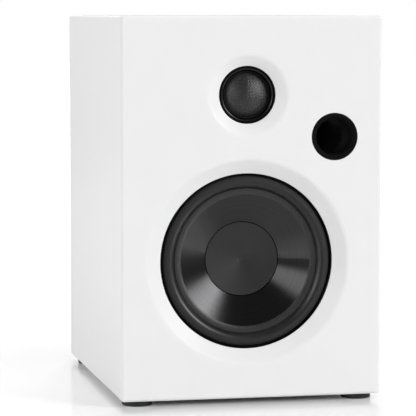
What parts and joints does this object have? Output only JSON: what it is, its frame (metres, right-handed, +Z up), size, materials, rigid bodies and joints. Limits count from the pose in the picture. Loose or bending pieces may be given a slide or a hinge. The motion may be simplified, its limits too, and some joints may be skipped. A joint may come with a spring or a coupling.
{
  "type": "bookshelf speaker",
  "caption": "Two-way bookshelf loudspeaker: white box cabinet with a dome tweeter and a woofer in shallow dishes, a front reflex port, low feet and rear screw terminals.",
  "frame": {"origin": "on the floor under the middle of the cabinet", "axes": "+Z up, the front faces -Y, +X to the right seen from the front"},
  "size_m": [0.223, 0.278, 0.325],
  "materials": {
    "cabinet_white": "satin white lacquer on fibreboard",
    "foot_rubber": "matte black",
    "steel_screw": "zinc plated",
    "black_screw": "black oxide",
    "wadding": "soft polyester wadding",
    "gasket_foam": "closed-cell foam",
    "basket_black": "black powder coat",
    "trim_black": "matte black",
    "surround_rubber": "matte black rubber",
    "cone_metal": "dark anodised, turned",
    "cap_metal": "dark anodised, turned",
    "former_metal": "thin foil",
    "copper_wire": "enamelled copper",
    "spider_cloth": "resin-stiffened cotton",
    "plate_steel": "zinc plated",
    "ferrite": "sintered ferrite",
    "strip_board": "brown laminate",
    "brass_plated": "gold-coloured plating",
    "tinsel": "braided copper",
    "dome_fabric": "coated black weave",
    "chamber_plastic": "moulded black",
    "port_black": "matte black",
    "cup_black": "fine-grained black",
    "board_green": "solder mask",
    "spacer_nylon": "natural nylon",
    "resistor_cement": "cement case",
    "film_yellow": "yellow film wrap",
    "can_black": "black sleeve",
    "lead_sleeve": "vinyl sleeve",
    "knob_red": "red moulded",
    "knob_black": "black moulded"
  },
  "bodies": {
    "cabinet": {"left_panel": "cabinet_white", "right_panel": "cabinet_white", "top_panel": "cabinet_white", "bottom_panel": "cabinet_white", "front_baffle": "cabinet_white", "back_panel": "cabinet_white", "back_screws": "black_screw", "damping_pads": "wadding", "foot_front_left": "foot_rubber", "foot_front_right": "foot_rubber", "foot_rear_left": "foot_rubber", "foot_rear_right": "foot_rubber", "foot_screws": "steel_screw", "woofer_gasket": "gasket_foam", "woofer_basket": "basket_black", "woofer_trim_ring": "trim_black", "woofer_surround": "surround_rubber", "woofer_spider": "spider_cloth", "woofer_top_plate": "plate_steel", "woofer_magnet": "ferrite", "woofer_back_plate": "plate_steel", "woofer_terminal_strip": "strip_board", "woofer_tinsel_leads": "tinsel", "woofer_screws": "steel_screw", "tweeter_faceplate": "trim_black", "tweeter_surround": "dome_fabric", "tweeter_top_plate": "plate_steel", "tweeter_magnet": "ferrite", "tweeter_yoke": "plate_steel", "tweeter_rear_chamber": "chamber_plastic", "terminal_tabs": "brass_plated", "port_tube": "port_black", "terminal_cup": "cup_black", "post_nuts": "brass_plated", "crossover_board": "board_green", "crossover_spacers": "spacer_nylon", "small_screws": "black_screw", "bass_inductor": "copper_wire", "treble_inductor": "copper_wire", "treble_resistor": "resistor_cement", "treble_capacitor": "film_yellow", "bass_capacitor": "can_black", "input_leads": "lead_sleeve", "woofer_leads": "lead_sleeve", "tweeter_leads": "lead_sleeve", "binding_post_red": "brass_plated", "binding_post_black": "brass_plated"},
    "woofer_diaphragm": {"woofer_cone": "cone_metal", "woofer_dust_cap": "cap_metal", "woofer_former": "former_metal", "woofer_winding": "copper_wire"},
    "tweeter_diaphragm": {"tweeter_dome": "dome_fabric", "tweeter_former": "former_metal", "tweeter_winding": "copper_wire"},
    "clamp_red": {"post_washer_red": "brass_plated"},
    "knob_red": {"post_knob_red": "knob_red", "knob_insert_red": "brass_plated"},
    "clamp_black": {"post_washer_black": "brass_plated"},
    "knob_black": {"post_knob_black": "knob_black", "knob_insert_black": "brass_plated"}
  },
  "joints": [
    {"name": "woofer_travel", "type": "slide", "parent": "cabinet", "child": "woofer_diaphragm", "axis": [0, -1, 0], "range_m": [-0.005, 0.005], "stiffness_N_per_m": 1200, "deforming": ["woofer_surround", "woofer_spider", "woofer_tinsel_leads"]},
    {"name": "tweeter_travel", "type": "slide", "parent": "cabinet", "child": "tweeter_diaphragm", "axis": [0, -1, 0], "range_m": [-0.0005, 0.0005], "stiffness_N_per_m": 1000, "deforming": ["tweeter_surround"]},
    {"name": "clamp_red_travel", "type": "slide", "parent": "cabinet", "child": "clamp_red", "axis": [0, 1, 0], "range_m": [0, 0.00505]},
    {"name": "knob_red_turn", "type": "hinge", "parent": "clamp_red", "child": "knob_red", "pos_m": [0.00953, 0.1255, 0.1], "axis": [0, 1, 0], "range_deg": [0, 1800]},
    {"name": "clamp_black_travel", "type": "slide", "parent": "cabinet", "child": "clamp_black", "axis": [0, 1, 0], "range_m": [0, 0.00505]},
    {"name": "knob_black_turn", "type": "hinge", "parent": "clamp_black", "child": "knob_black", "pos_m": [-0.00953, 0.1255, 0.1], "axis": [0, 1, 0], "range_deg": [0, 1800]}
  ],
  "couplings": [
    {"joint": "clamp_red_travel", "follows": "knob_red_turn", "m_per_rad": 0.00015915},
    {"joint": "clamp_black_travel", "follows": "knob_black_turn", "m_per_rad": 0.00015915}
  ]
}
